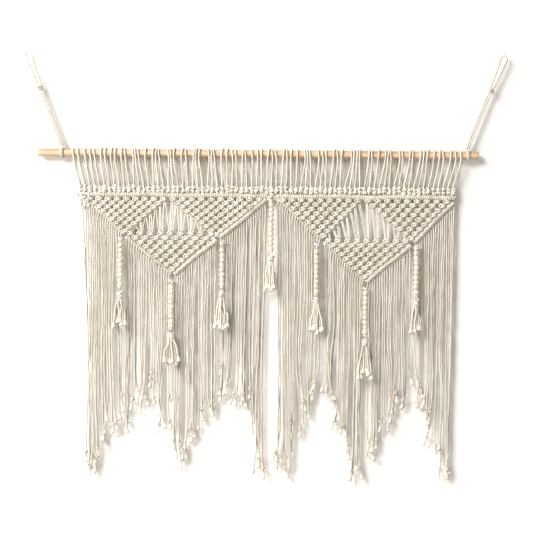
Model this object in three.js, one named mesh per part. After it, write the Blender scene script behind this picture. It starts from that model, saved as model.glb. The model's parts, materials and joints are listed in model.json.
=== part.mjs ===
// A knotted cotton wall hanging (macrame) on a wooden dowel, in millimetres.
// X runs along the dowel to the viewer's right, Y runs back to the wall, Z is up.
// The origin is midway between the two wall hooks, on the line where the loops bear on them.

import * as THREE from 'three';

// ---------------------------------------------------------------- driving dimensions

const CORD_DIAMETER = 4.5;
const CORD_RADIUS = CORD_DIAMETER / 2;
const GAP = 0.4;

const DOWEL_DIAMETER = 20;
const DOWEL_DROP = 248;
const DOWEL_EDGE = 1.5;
const DOWEL_PAST_HEADING = { left: 86, right: 43 };
const DOWEL_RADIUS = DOWEL_DIAMETER / 2;
const DOWEL_Z = -DOWEL_DROP;

const HEADING_WIDTH = 971;
const HEADING_MIDDLE_X = 0.5;
const HEADING_DROP = 82;
const HEADING_PANELS = 4;
const HEADING_TAPER = 13;
const HEADING_LEFT_X = HEADING_MIDDLE_X - HEADING_WIDTH / 2;
const HEADING_RIGHT_X = HEADING_MIDDLE_X + HEADING_WIDTH / 2;

const WRAP_PAST_HEADING = { left: 27, right: 16 };
const WRAP_TURNS = 3;

const KNOT_ROW_WIDTH = HEADING_WIDTH - 2 * HEADING_TAPER;
const KNOT_ROW_LEFT_X = HEADING_LEFT_X + HEADING_TAPER;
const KNOT_ROW_RIGHT_X = HEADING_RIGHT_X - HEADING_TAPER;
const KNOT_ROW_HEIGHT = 15;
const KNOT_THICKNESS = 9;

const RIDGE_DIAMETER = 10;
const RIDGE_RADIUS = RIDGE_DIAMETER / 2;
const LATTICE_THICKNESS = 8;
const FAN_THICKNESS = 5;
const FAN_HEIGHT = { left: 85, right: 100 };

const FRINGE_THICKNESS = 8;
const FRINGE_SET_BACK = 1;

const BEAD_DIAMETER = 14.5;
const BEAD_LENGTH = 12.2;
const BEAD_END_RADIUS = 3.8;
const BEAD_BORE_RADIUS = 2.7;
const STRING_CORD_RADIUS = 2.2;
const STRING_KNOT_RADIUS = 5.5;
const STRING_FORWARD = 12;
const STOPPER_LENGTH = 5;
const TASSEL_KNOT_LENGTH = 17;
const TASSEL_DEPTH = 14;

const HEADING_BOTTOM_Z = DOWEL_Z - HEADING_DROP;
const KNOT_ROW_TOP_Z = HEADING_BOTTOM_Z - GAP;
const KNOT_ROW_BOTTOM_Z = KNOT_ROW_TOP_Z - KNOT_ROW_HEIGHT;
const HEADER_Z = KNOT_ROW_BOTTOM_Z - GAP - RIDGE_RADIUS;
const LATTICE_TOP_Z = HEADER_Z - RIDGE_RADIUS - GAP;

const CENTRE_X = 13;
const CENTRE_KNOT_WIDTH = 16;
const CORNER_INSET = { left: 12, right: 2 };
const CENTRE_SPACE = 9;

// The two halves of the knotted panel. Each is a broad V from its outer corner, by its outer
// apex, down to its low apex, and up by its inner apex to its inner corner. A point is the share
// of the half's width from its outer corner, and the drop below the header ridge's underside.
const HALVES = {
  left: {
    outerCorner: [0, 1],
    outerApex: [0.224, 98],
    archTop: [0.463, 5],
    lowApex: [0.487, 197],
    innerApex: [0.733, 104],
    innerCorner: [1, 1],
  },
  right: {
    outerCorner: [0, 7],
    outerApex: [0.233, 113],
    archTop: [0.51, 11],
    lowApex: [0.499, 213],
    innerApex: [0.737, 107],
    innerCorner: [1, 1],
  },
};

// The fringe sections. Each hangs from one leg of a V, and its lower edge is given as the share
// of that leg's width and the drop below the header ridge's underside.
const FRINGE = [
  {
    name: 'fringe_left_1', side: 'left', leg: ['outerCorner', 'outerApex'],
    hem: [[0, 685], [0.35, 685], [0.66, 585], [0.99, 555]],
  },
  {
    name: 'fringe_left_2', side: 'left', leg: ['outerApex', 'lowApex'],
    hem: [[0.01, 595], [0.25, 515], [0.54, 525], [0.99, 617]],
  },
  {
    name: 'fringe_left_3', side: 'left', leg: ['lowApex', 'innerApex'],
    hem: [[0.01, 621], [0.25, 665], [0.65, 551], [0.99, 510]],
  },
  {
    name: 'fringe_left_4', side: 'left', leg: ['innerApex', 'innerCorner'],
    hem: [[0.01, 508], [0.31, 487], [0.66, 541], [0.84, 678], [0.96, 678]],
  },
  {
    name: 'fringe_right_4', side: 'right', leg: ['innerCorner', 'innerApex'],
    hem: [[0.01, 685], [0.25, 685], [0.62, 555], [0.98, 483]],
  },
  {
    name: 'fringe_right_3', side: 'right', leg: ['innerApex', 'lowApex'],
    hem: [[0.01, 481], [0.3, 529], [0.77, 701], [0.98, 685]],
  },
  {
    name: 'fringe_right_2', side: 'right', leg: ['lowApex', 'outerApex'],
    hem: [[0.02, 663], [0.25, 623], [0.65, 548], [0.98, 508]],
  },
  {
    name: 'fringe_right_1', side: 'right', leg: ['outerApex', 'outerCorner'],
    hem: [[0.01, 495], [0.33, 540], [0.74, 689], [1, 689]],
  },
];

// The seven bead strings, from left to right: the point of the panel that each hangs from, how
// far aside and below it the pivot is, the cord from the pivot to the first bead, the number of
// beads, and the length and spread of the tassel below its knot.
const STRINGS = [
  { from: ['left', 'outerApex'], aside: -7, under: 3, lead: 16, beads: 9, skirt: 77, spread: 38 },
  { from: ['left', 'lowApex'], aside: -1, under: 9, lead: 13, beads: 9, skirt: 67, spread: 48 },
  { from: ['left', 'innerApex'], aside: 11, under: 4, lead: 19, beads: 8, skirt: 87, spread: 38 },
  { from: ['left', 'innerCorner'], aside: 8, under: 4, lead: 8, beads: 10, skirt: 78, spread: 36 },
  { from: ['right', 'innerApex'], aside: -14, under: 5, lead: 18, beads: 9, skirt: 73, spread: 36 },
  { from: ['right', 'lowApex'], aside: 1, under: 9, lead: 9, beads: 9, skirt: 87, spread: 40 },
  { from: ['right', 'outerApex'], aside: 8, under: 4, lead: 14, beads: 9, skirt: 68, spread: 32 },
];

// The route of each hanger's cord as [x, z], chosen by hand: up from the dowel, over its
// hook and back down. Y is 0 all along.
const HANGER_ROUTES = {
  left: [
    [-514.6, -231.5], [-523.9, -206.5], [-533.3, -181.5], [-542.6, -156.5], [-552, -131.5],
    [-561.3, -106.5], [-570.6, -84.5], [-581.5, -61], [-592, -37], [-600.8, -18], [-604.4, -7.5],
    [-602.8, -0.6], [-597, 2.2], [-591.5, -0.4], [-588.3, -7], [-585.8, -17], [-579.5, -37],
    [-572, -58], [-565, -81], [-556.3, -104.5], [-546.9, -129.5], [-537.6, -154.5],
    [-528.3, -179.5], [-518.9, -204.5], [-509.3, -230.8],
  ],
  right: [
    [504.6, -231.5], [514.1, -206.5], [523.8, -181.5], [533.5, -156.5], [543.3, -131.5],
    [553.1, -106.5], [563, -84.5], [574.6, -61], [585.8, -37], [594.6, -18], [598.6, -7.5],
    [597.2, -0.6], [591.5, 2.2], [585.9, -0.4], [582.6, -7], [580, -17], [573.4, -37],
    [565.6, -58], [557.4, -81], [547.9, -104.5], [538.1, -129.5], [528.4, -154.5],
    [518.7, -179.5], [509, -204.5], [499.3, -230.8],
  ],
};

// ---------------------------------------------------------------- materials

const cotton = new THREE.MeshStandardMaterial({ color: 0xefe4cd, roughness: 0.95, metalness: 0 });
const dowelWood = new THREE.MeshStandardMaterial({ color: 0xd9ad7f, roughness: 0.7, metalness: 0 });
const beadWood = new THREE.MeshStandardMaterial({ color: 0xf0dfb4, roughness: 0.6, metalness: 0 });

// ---------------------------------------------------------------- shape helpers

const hanging = new THREE.Group();

function add(name, geometry, material, x = 0, y = 0, z = 0) {
  const mesh = new THREE.Mesh(geometry, material);
  mesh.name = name;
  mesh.position.set(x, y, z);
  hanging.add(mesh);
  return mesh;
}

// A flat piece standing upright: the outline is in [x, z] and the thickness is along Y.
function uprightSlab(outline, thickness, middleY = 0) {
  const shape = new THREE.Shape(outline.map(([x, z]) => new THREE.Vector2(x, z)));
  const slab = new THREE.ExtrudeGeometry(shape, { depth: thickness, bevelEnabled: false });
  slab.rotateX(Math.PI / 2);
  slab.translate(0, middleY + thickness / 2, 0);
  return slab;
}

// A round cord through points given as [x, z], at Y = 0.
function cordThrough(route, radius, sides, steps) {
  const section = new THREE.Shape();
  for (let side = 0; side < sides; side += 1) {
    const angle = (side / sides) * 2 * Math.PI;
    const x = radius * Math.cos(angle);
    const y = radius * Math.sin(angle);
    if (side === 0) section.moveTo(x, y);
    else section.lineTo(x, y);
  }
  section.closePath();
  const path = new THREE.CatmullRomCurve3(
    route.map(([x, z]) => new THREE.Vector3(x, 0, z)), false, 'centripetal',
  );
  return new THREE.ExtrudeGeometry(section, { steps, bevelEnabled: false, extrudePath: path });
}

// A solid of revolution about the vertical axis from [radius, z] points, lowest first.
function turned(profile, sides) {
  const points = profile.map(([radius, z]) => new THREE.Vector2(radius, z));
  const lathe = new THREE.LatheGeometry(points, sides);
  lathe.rotateX(Math.PI / 2);
  return lathe;
}

// A convex outline, given anticlockwise, with every edge moved in by its own margin.
function inset(outline, margins) {
  const count = outline.length;
  const edges = outline.map(([x, z], i) => {
    const [nextX, nextZ] = outline[(i + 1) % count];
    const length = Math.hypot(nextX - x, nextZ - z);
    const along = [(nextX - x) / length, (nextZ - z) / length];
    const inward = [-along[1], along[0]];
    return { start: [x + inward[0] * margins[i], z + inward[1] * margins[i]], along };
  });
  return edges.map((edge, i) => {
    const before = edges[(i + count - 1) % count];
    const cross = before.along[0] * edge.along[1] - before.along[1] * edge.along[0];
    const dx = edge.start[0] - before.start[0];
    const dz = edge.start[1] - before.start[1];
    const distance = (dx * edge.along[1] - dz * edge.along[0]) / cross;
    return [
      before.start[0] + before.along[0] * distance,
      before.start[1] + before.along[1] * distance,
    ];
  });
}

function anticlockwise(outline) {
  const area = outline.reduce((sum, [x, z], i) => {
    const [nextX, nextZ] = outline[(i + 1) % outline.length];
    return sum + x * nextZ - nextX * z;
  }, 0);
  return area > 0;
}

// A slab of the outline with every edge moved in; the outline may run either way round.
function insetSlab(outline, margins, thickness) {
  if (anticlockwise(outline)) return uprightSlab(inset(outline, margins), thickness);
  const count = outline.length;
  const reversed = [...outline].reverse();
  const reversedMargins = margins.map((margin, i) => margins[(2 * count - 2 - i) % count]);
  return uprightSlab(inset(reversed, reversedMargins), thickness);
}

function below(drop) {
  return HEADER_Z - RIDGE_RADIUS - drop;
}

// Where a named point of one half is, as [x, z].
function panelPoint(side, key) {
  const [share, drop] = HALVES[side][key];
  const outerX = side === 'left'
    ? KNOT_ROW_LEFT_X + CORNER_INSET.left
    : KNOT_ROW_RIGHT_X - CORNER_INSET.right;
  const innerX = side === 'left' ? CENTRE_X - CENTRE_SPACE : CENTRE_X + CENTRE_SPACE;
  return [outerX + (innerX - outerX) * share, below(drop)];
}

function between(from, to, share) {
  return from.map((value, i) => value + (to[i] - value) * share);
}

// ---------------------------------------------------------------- dowel and hangers

function addDowel() {
  const leftX = HEADING_LEFT_X - DOWEL_PAST_HEADING.left;
  const rightX = HEADING_RIGHT_X + DOWEL_PAST_HEADING.right;
  const half = (rightX - leftX) / 2;
  const dowel = turned([
    [0, -half],
    [DOWEL_RADIUS - DOWEL_EDGE, -half],
    [DOWEL_RADIUS, -half + DOWEL_EDGE],
    [DOWEL_RADIUS, half - DOWEL_EDGE],
    [DOWEL_RADIUS - DOWEL_EDGE, half],
    [0, half],
  ], 32);
  dowel.rotateY(Math.PI / 2);
  add('dowel', dowel, dowelWood, (leftX + rightX) / 2, 0, DOWEL_Z);
}

function addHanger(side, wrapX) {
  const cord = cordThrough(HANGER_ROUTES[side], CORD_RADIUS, 8, 66);
  add(`hanger_cord_${side}`, cord, cotton);

  const inner = DOWEL_RADIUS + GAP;
  const outer = inner + CORD_DIAMETER;
  const half = (WRAP_TURNS * CORD_DIAMETER) / 2;
  const edge = CORD_RADIUS * 0.6;
  const wrap = turned([
    [inner, -half + edge],
    [inner + edge, -half],
    [outer - edge, -half],
    [outer, -half + edge],
    [outer, half - edge],
    [outer - edge, half],
    [inner + edge, half],
    [inner, half - edge],
    [inner, -half + edge],
  ], 20);
  wrap.rotateY(Math.PI / 2);
  add(`hanger_wrap_${side}`, wrap, cotton, wrapX, 0, DOWEL_Z);
}

// ---------------------------------------------------------------- heading

// The cords draped over the dowel: an arch round it, with a front and a back leg that close in
// on the knot row. The panel narrows from the dowel to the knot row.
function headingProfile() {
  const inner = DOWEL_RADIUS + GAP;
  const outer = inner + CORD_DIAMETER;
  const footInner = GAP;
  const footOuter = footInner + CORD_DIAMETER;
  const segments = 8;
  const points = [[-footOuter, -HEADING_DROP], [-outer, 0]];
  for (let i = 1; i < segments; i += 1) {
    const angle = Math.PI - (i / segments) * Math.PI;
    points.push([outer * Math.cos(angle), outer * Math.sin(angle)]);
  }
  points.push([outer, 0], [footOuter, -HEADING_DROP], [footInner, -HEADING_DROP], [inner, 0]);
  for (let i = 1; i < segments; i += 1) {
    const angle = (i / segments) * Math.PI;
    points.push([inner * Math.cos(angle), inner * Math.sin(angle)]);
  }
  points.push([-inner, 0], [-footInner, -HEADING_DROP]);
  return points;
}

function addHeading() {
  const width = HEADING_WIDTH / HEADING_PANELS;
  const shape = new THREE.Shape(headingProfile().map(([y, z]) => new THREE.Vector2(y, z)));
  for (let i = 0; i < HEADING_PANELS; i += 1) {
    const panel = new THREE.ExtrudeGeometry(shape, { depth: width - GAP, bevelEnabled: false });
    panel.rotateX(Math.PI / 2);
    panel.rotateZ(Math.PI / 2);
    panel.translate((i - HEADING_PANELS / 2) * width + GAP / 2, 0, 0);
    const place = panel.getAttribute('position');
    for (let v = 0; v < place.count; v += 1) {
      const share = Math.min(Math.max(-place.getZ(v) / HEADING_DROP, 0), 1);
      const narrowed = 1 + share * (KNOT_ROW_WIDTH / HEADING_WIDTH - 1);
      place.setX(v, place.getX(v) * narrowed);
    }
    add(`heading_cords_${i + 1}`, panel, cotton, HEADING_MIDDLE_X, 0, DOWEL_Z);
  }
}

// ---------------------------------------------------------------- knotted panel

function addHeader() {
  const knotHalf = CENTRE_KNOT_WIDTH / 2;
  const spans = {
    left: [KNOT_ROW_LEFT_X, CENTRE_X - knotHalf - GAP],
    right: [CENTRE_X + knotHalf + GAP, KNOT_ROW_RIGHT_X],
  };
  for (const [side, [from, to]] of Object.entries(spans)) {
    const row = uprightSlab([
      [from, KNOT_ROW_BOTTOM_Z],
      [to, KNOT_ROW_BOTTOM_Z],
      [to, KNOT_ROW_TOP_Z],
      [from, KNOT_ROW_TOP_Z],
    ], KNOT_THICKNESS);
    add(`knot_row_${side}`, row, cotton);
    const ridge = cordThrough([[from, HEADER_Z], [to, HEADER_Z]], RIDGE_RADIUS, 10, 12);
    add(`header_ridge_${side}`, ridge, cotton);
  }
  const centre = uprightSlab([
    [CENTRE_X - knotHalf, HEADER_Z - RIDGE_RADIUS],
    [CENTRE_X + knotHalf, HEADER_Z - RIDGE_RADIUS],
    [CENTRE_X + knotHalf, KNOT_ROW_TOP_Z],
    [CENTRE_X - knotHalf, KNOT_ROW_TOP_Z],
  ], RIDGE_DIAMETER + 1);
  add('centre_knot', centre, cotton);
}

function ridgeBetween(from, to) {
  const length = Math.hypot(to[0] - from[0], to[1] - from[1]);
  const trim = (RIDGE_RADIUS + GAP) / length;
  return cordThrough([between(from, to, trim), between(from, to, 1 - trim)], RIDGE_RADIUS, 8, 6);
}

function addHalf(side) {
  const at = Object.fromEntries(
    Object.keys(HALVES[side]).map((key) => [key, panelPoint(side, key)]),
  );
  const beside = RIDGE_RADIUS + GAP;
  const outerTop = [at.outerCorner[0], LATTICE_TOP_Z];
  const innerTop = [at.innerCorner[0], LATTICE_TOP_Z];
  const archTop = [at.archTop[0], LATTICE_TOP_Z];
  const fanShare = FAN_HEIGHT[side] / (archTop[1] - at.outerApex[1]);
  const fanShareInner = FAN_HEIGHT[side] / (archTop[1] - at.innerApex[1]);
  const fanOuter = between(archTop, at.outerApex, fanShare);
  const fanInner = between(archTop, at.innerApex, fanShareInner);

  add(
    `lattice_${side}_outer`,
    insetSlab([outerTop, archTop, at.outerApex], [0, GAP, beside], LATTICE_THICKNESS),
    cotton,
  );
  add(
    `lattice_${side}_inner`,
    insetSlab([archTop, innerTop, at.innerApex], [0, beside, GAP], LATTICE_THICKNESS),
    cotton,
  );
  add(
    `lattice_${side}_lower`,
    insetSlab(
      [fanOuter, at.outerApex, at.lowApex, at.innerApex, fanInner],
      [GAP, beside, beside, GAP, GAP],
      LATTICE_THICKNESS,
    ),
    cotton,
  );
  add(
    `fan_${side}`,
    insetSlab([archTop, fanOuter, fanInner], [GAP, GAP, GAP], FAN_THICKNESS),
    cotton,
  );
  add(`ridge_${side}_outer`, ridgeBetween(at.outerCorner, at.outerApex), cotton);
  add(`ridge_${side}_low_outer`, ridgeBetween(at.outerApex, at.lowApex), cotton);
  add(`ridge_${side}_low_inner`, ridgeBetween(at.lowApex, at.innerApex), cotton);
  add(`ridge_${side}_inner`, ridgeBetween(at.innerApex, at.innerCorner), cotton);
}

// ---------------------------------------------------------------- fringe

// The height of a line from one point to another, at x.
function heightOn(from, to, x) {
  return from[1] + ((to[1] - from[1]) * (x - from[0])) / (to[0] - from[0]);
}

function addFringe() {
  for (const { name, side, leg, hem } of FRINGE) {
    const [from, to] = leg.map((key) => panelPoint(side, key));
    const slope = Math.hypot(to[0] - from[0], to[1] - from[1]) / Math.abs(to[0] - from[0]);
    const clear = (RIDGE_RADIUS + GAP) * slope + GAP;
    const outline = hem.map(([share, drop]) => [from[0] + (to[0] - from[0]) * share, below(drop)]);
    const first = outline[0][0];
    const last = outline[outline.length - 1][0];
    outline.push([last, heightOn(from, to, last) - clear]);
    outline.push([first, heightOn(from, to, first) - clear]);
    add(name, uprightSlab(outline, FRINGE_THICKNESS, FRINGE_SET_BACK), cotton);
  }
}

// ---------------------------------------------------------------- bead strings

// The heights that one string's pieces share, from its pivot down.
function stringHeights(string) {
  const [apexX, apexZ] = panelPoint(...string.from);
  const pivot = apexZ - string.under;
  const beadsTop = pivot - string.lead;
  const beadsLow = beadsTop - string.beads * BEAD_LENGTH;
  const stopperLow = beadsLow - GAP - STOPPER_LENGTH;
  const tasselTop = stopperLow - GAP;
  return { x: apexX + string.aside, pivot, beadsTop, beadsLow, stopperLow, tasselTop };
}

// The cord inside the beads, with a knot above them and a stopper knot below.
function stringCord({ pivot, beadsTop, beadsLow, stopperLow }) {
  const top = pivot - GAP;
  const knotLow = Math.max(top - 2 * STRING_KNOT_RADIUS, beadsTop + GAP);
  const stopperTop = beadsLow - GAP;
  return turned([
    [0, stopperLow],
    [STRING_KNOT_RADIUS * 0.7, stopperLow],
    [STRING_KNOT_RADIUS * 0.85, (stopperLow + stopperTop) / 2],
    [STRING_KNOT_RADIUS * 0.7, stopperTop],
    [STRING_CORD_RADIUS, stopperTop],
    [STRING_CORD_RADIUS, beadsTop],
    [STRING_CORD_RADIUS, knotLow],
    [STRING_KNOT_RADIUS, (top + knotLow) / 2],
    [STRING_CORD_RADIUS, top],
    [0, top],
  ], 8);
}

// Round beads with flat ends, touching, as one turned solid with the bore through it.
function beadColumn({ beadsTop, beadsLow }, count) {
  const half = BEAD_LENGTH / 2;
  const radius = BEAD_DIAMETER / 2;
  const flat = Math.sqrt(1 - (BEAD_END_RADIUS / radius) ** 2);
  const rings = 4;
  const profile = [];
  for (let bead = 0; bead < count; bead += 1) {
    const middle = beadsLow + half + bead * BEAD_LENGTH;
    for (let ring = 0; ring < rings; ring += 1) {
      const share = (2 * ring) / rings - 1;
      profile.push([radius * Math.sqrt(1 - (share * flat) ** 2), middle + share * half]);
    }
  }
  profile.push([BEAD_END_RADIUS, beadsTop]);
  profile.push([BEAD_BORE_RADIUS, beadsTop]);
  profile.push([BEAD_BORE_RADIUS, beadsLow]);
  profile.push(profile[0]);
  return turned(profile, 8);
}

// A tassel is a wrapped knot over a skirt that spreads sideways more than it deepens. The
// knot's top is a dome about the point that the tassel swings on, so it turns clear of the stopper.
function tassel(top, skirt, spread) {
  const knotLow = top - TASSEL_KNOT_LENGTH;
  const half = TASSEL_DEPTH / 2;
  const profile = [
    [0, knotLow - skirt],
    [spread / 2, knotLow - skirt],
    [spread * 0.38, knotLow - skirt / 2],
    [half * 0.8, knotLow],
    [half, knotLow + 3],
  ];
  const domeSteps = 4;
  for (let i = 0; i < domeSteps; i += 1) {
    const angle = (i / domeSteps) * (Math.PI / 2);
    profile.push([half * Math.cos(angle), top - half + half * Math.sin(angle)]);
  }
  profile.push([0, top]);
  const shape = turned(profile, 12);
  const place = shape.getAttribute('position');
  for (let v = 0; v < place.count; v += 1) {
    const radius = Math.hypot(place.getX(v), place.getY(v));
    if (radius > half) place.setY(v, (place.getY(v) * half) / radius);
  }
  return shape;
}

function addString(string, number) {
  const heights = stringHeights(string);
  const { x, tasselTop } = heights;
  const y = -STRING_FORWARD;
  add(`string_cord_${number}`, stringCord(heights), cotton, x, y);
  add(`beads_${number}`, beadColumn(heights, string.beads), beadWood, x, y);
  add(`tassel_${number}`, tassel(tasselTop, string.skirt, string.spread), cotton, x, y);
}

// ---------------------------------------------------------------- the whole object

addDowel();
addHanger('left', HEADING_LEFT_X - WRAP_PAST_HEADING.left);
addHanger('right', HEADING_RIGHT_X + WRAP_PAST_HEADING.right);
addHeading();
addHeader();
addHalf('left');
addHalf('right');
addFringe();
STRINGS.forEach((string, i) => addString(string, i + 1));

export default hanging;
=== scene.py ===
import json
import math

import bpy
import numpy as np
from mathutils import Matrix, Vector


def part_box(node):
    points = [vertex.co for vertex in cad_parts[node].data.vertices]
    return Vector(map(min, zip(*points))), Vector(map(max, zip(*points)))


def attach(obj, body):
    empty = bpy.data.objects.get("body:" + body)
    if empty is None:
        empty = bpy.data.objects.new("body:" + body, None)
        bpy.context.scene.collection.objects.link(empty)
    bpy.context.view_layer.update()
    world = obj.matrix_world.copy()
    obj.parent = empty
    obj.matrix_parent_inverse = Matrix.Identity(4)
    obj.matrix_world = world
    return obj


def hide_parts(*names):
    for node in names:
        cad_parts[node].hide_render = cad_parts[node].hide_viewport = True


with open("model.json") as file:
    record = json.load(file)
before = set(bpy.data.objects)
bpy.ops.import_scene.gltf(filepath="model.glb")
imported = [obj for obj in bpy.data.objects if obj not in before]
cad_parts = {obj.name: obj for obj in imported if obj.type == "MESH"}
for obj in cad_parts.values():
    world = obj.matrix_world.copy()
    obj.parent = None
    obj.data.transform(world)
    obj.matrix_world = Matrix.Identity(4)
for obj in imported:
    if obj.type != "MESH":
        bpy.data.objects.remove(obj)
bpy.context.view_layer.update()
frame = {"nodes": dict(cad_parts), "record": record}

# A knotted cotton wall hanging, in metres. X runs along the dowel, Y back to the wall, Z up.

MM = 0.001
TAU = 2 * math.pi

# ------------------------------------------------------------------ sizes

CORD = 4.5 * MM            # the cotton cord's diameter
FRINGE_CORD = 4.1 * MM     # the same cord hanging straight, with nothing pulling its plies apart
FAN_CORD = 3.9 * MM        # the same cord pulled straight between two rows of knots
KNOT_CORD = 4.9 * MM       # the same cord, bulging between the crossings of a knot
TWIST = 22 * MM            # length in which the three plies turn once
PLY_HIGH, PLY_LOW = 1.07, 0.86
RIDGE_CORE = 3.2 * MM      # radius that the hitches wind on
FRINGE_DEPTH = 2.6 * MM    # how far fringe cords lie in front of or behind each other
# with the two hanger cords, as many cords as may be declared
DECLARED_FRINGE = 38       # how many of the lowest fringe cords are built as pieces of their own
DRAPED = 77                # cords laid over the dowel
BEAD_PITCH = 12.2 * MM
LENS, SENSOR = 85, 36      # the camera's, in millimetres
FRAME_WIDTH = 1.35         # what the camera sees of the wall, from side to side
CAMERA_X, CAMERA_Z, CAMERA_ROLL = 0.010, -0.5374, -0.43
WALL_Y, FLOOR_Z = 0.0165, -1.35
ROOM = 5.0                 # how far the wall and the floor reach
SEED = 7

rng = np.random.default_rng(SEED)

# ------------------------------------------------------------------ places from the frame


def node_points(name):
    mesh = frame["nodes"][name].data
    points = np.empty(len(mesh.vertices) * 3, np.float32)
    mesh.vertices.foreach_get("co", points)
    return points.reshape(-1, 3).astype(float)


def axis_ends(name):
    """The end centres of a straight round node, left end first."""
    points = node_points(name)
    middle = points.mean(axis=0)
    along = np.linalg.svd(points - middle, full_matrices=False)[2][0]
    along = along * np.sign(along[0])
    places = (points - middle) @ along
    low = points[places < places.min() + MM].mean(axis=0)
    high = points[places > places.max() - MM].mean(axis=0)
    return low, high


def box(name):
    low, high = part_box(name)
    return np.array(low, float), np.array(high, float)


def hem_of(name):
    """The lower edge of a fringe section, as x and z from left to right."""
    points = np.unique(np.round(node_points(name)[:, [0, 2]], 5), axis=0)
    order = np.argsort(points[:, 1])
    hem = points[order[:-2]]
    hem = hem[np.argsort(hem[:, 0])]
    return hem[:, 0], hem[:, 1]


DOWEL_LOW, DOWEL_HIGH = box("dowel")
DOWEL_Z = (DOWEL_LOW[2] + DOWEL_HIGH[2]) / 2
DOWEL_RADIUS = (DOWEL_HIGH[2] - DOWEL_LOW[2]) / 2
HEADING_LEFT = box("heading_cords_1")[0][0]
HEADING_RIGHT = box("heading_cords_4")[1][0]
HEADING_MIDDLE = (HEADING_LEFT + HEADING_RIGHT) / 2
KNOTS_LOW_Z, KNOTS_TOP_Z = box("knot_row_left")[0][2], box("knot_row_left")[1][2]
HEADER = {side: axis_ends(f"header_ridge_{side}") for side in ("left", "right")}
HEADER_Z = HEADER["left"][0][2]
FRINGE_Y = (box("fringe_left_1")[0][1] + box("fringe_left_1")[1][1]) / 2

# ------------------------------------------------------------------ camera


def add_camera():
    data = bpy.data.cameras.new("camera")
    data.lens = LENS
    data.sensor_width = SENSOR
    camera = bpy.data.objects.new("camera", data)
    bpy.context.scene.collection.objects.link(camera)
    camera.location = (CAMERA_X, -FRAME_WIDTH * LENS / SENSOR, CAMERA_Z)
    camera.rotation_euler = (math.radians(90), math.radians(CAMERA_ROLL), 0)
    bpy.context.scene.camera = camera


add_camera()

# ------------------------------------------------------------------ mesh building


class Solid:
    """Gathers rings of quads, with a cord map of how far round and how far along each corner is."""

    def __init__(self):
        self.points, self.corners, self.sizes, self.maps, self.kinds = [], [], [], [], []
        self.count = 0

    def tube(self, rings, closed_ends=True, along=None, kind=0):
        """rings is (n, sides, 3). Joins each ring to the next, and caps both ends. kind is the
        place of its material in the piece's list."""
        n, sides, _ = rings.shape
        base = self.count + np.arange(n * sides).reshape(n, sides)
        turned = np.roll(base, -1, axis=1)
        quads = np.stack([base[:-1], turned[:-1], turned[1:], base[1:]], axis=-1).reshape(-1, 4)
        if along is None:
            steps = np.linalg.norm(np.diff(rings.mean(axis=1), axis=0), axis=1)
            along = np.concatenate([[0], np.cumsum(steps)])
        around = np.arange(sides + 1) / sides
        low = np.stack(np.meshgrid(along[:-1], around[:-1], indexing="ij"), -1)
        high = np.stack(np.meshgrid(along[1:], around[1:], indexing="ij"), -1)
        uv = np.empty((n - 1, sides, 4, 2))
        uv[..., 0, :] = np.stack([low[..., 1], low[..., 0]], -1)
        uv[..., 1, :] = np.stack([high[..., 1], low[..., 0]], -1)
        uv[..., 2, :] = np.stack([high[..., 1], high[..., 0]], -1)
        uv[..., 3, :] = np.stack([low[..., 1], high[..., 0]], -1)
        self.points.append(rings.reshape(-1, 3))
        self.corners.append(quads.ravel())
        self.sizes.append(np.full(len(quads), 4))
        self.maps.append(uv.reshape(-1, 2))
        if closed_ends:
            for ring, place in ((base[0][::-1], along[0]), (base[-1], along[-1])):
                self.corners.append(ring)
                self.sizes.append(np.array([sides]))
                cap = np.column_stack([np.arange(sides) / sides, np.full(sides, place)])
                self.maps.append(cap)
        self.kinds.append(np.full(len(quads) + (2 if closed_ends else 0), kind))
        self.count += n * sides

    def build(self, name, *materials):
        points = np.concatenate(self.points)
        corners = np.concatenate(self.corners)
        sizes = np.concatenate(self.sizes)
        mesh = bpy.data.meshes.new(name)
        mesh.vertices.add(len(points))
        mesh.vertices.foreach_set("co", points.ravel())
        mesh.loops.add(len(corners))
        mesh.loops.foreach_set("vertex_index", corners)
        mesh.polygons.add(len(sizes))
        starts = np.concatenate([[0], np.cumsum(sizes)[:-1]])
        mesh.polygons.foreach_set("loop_start", starts)
        layer = mesh.uv_layers.new(name="cord_map")
        layer.uv.foreach_set("vector", np.concatenate(self.maps).astype(np.float32).ravel())
        mesh.update(calc_edges=True)
        mesh.polygons.foreach_set("use_smooth", np.ones(len(sizes), bool))
        mesh.polygons.foreach_set("material_index", np.concatenate(self.kinds))
        for material in materials:
            mesh.materials.append(material)
        piece = bpy.data.objects.new(name, mesh)
        bpy.context.scene.collection.objects.link(piece)
        return piece


def path_through(points, step):
    """A smooth path through the points, sampled about every step."""
    points = np.asarray(points, float)
    knots = np.concatenate([[0], np.cumsum(np.linalg.norm(np.diff(points, axis=0), axis=1))])
    slopes = np.gradient(points, knots, axis=0) if len(points) > 2 else None
    count = max(2, int(math.ceil(knots[-1] / step)) + 1)
    at = np.linspace(0, knots[-1], count)
    if slopes is None:
        return points[0] + (points[1] - points[0]) * (at / knots[-1])[:, None]
    i = np.clip(np.searchsorted(knots, at, side="right") - 1, 0, len(points) - 2)
    width = (knots[i + 1] - knots[i])[:, None]
    t = (at - knots[i])[:, None] / width
    a, b = points[i], points[i + 1]
    ma, mb = slopes[i] * width, slopes[i + 1] * width
    return (
        (2 * t**3 - 3 * t**2 + 1) * a
        + (t**3 - 2 * t**2 + t) * ma
        + (-2 * t**3 + 3 * t**2) * b
        + (t**3 - t**2) * mb
    )


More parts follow.
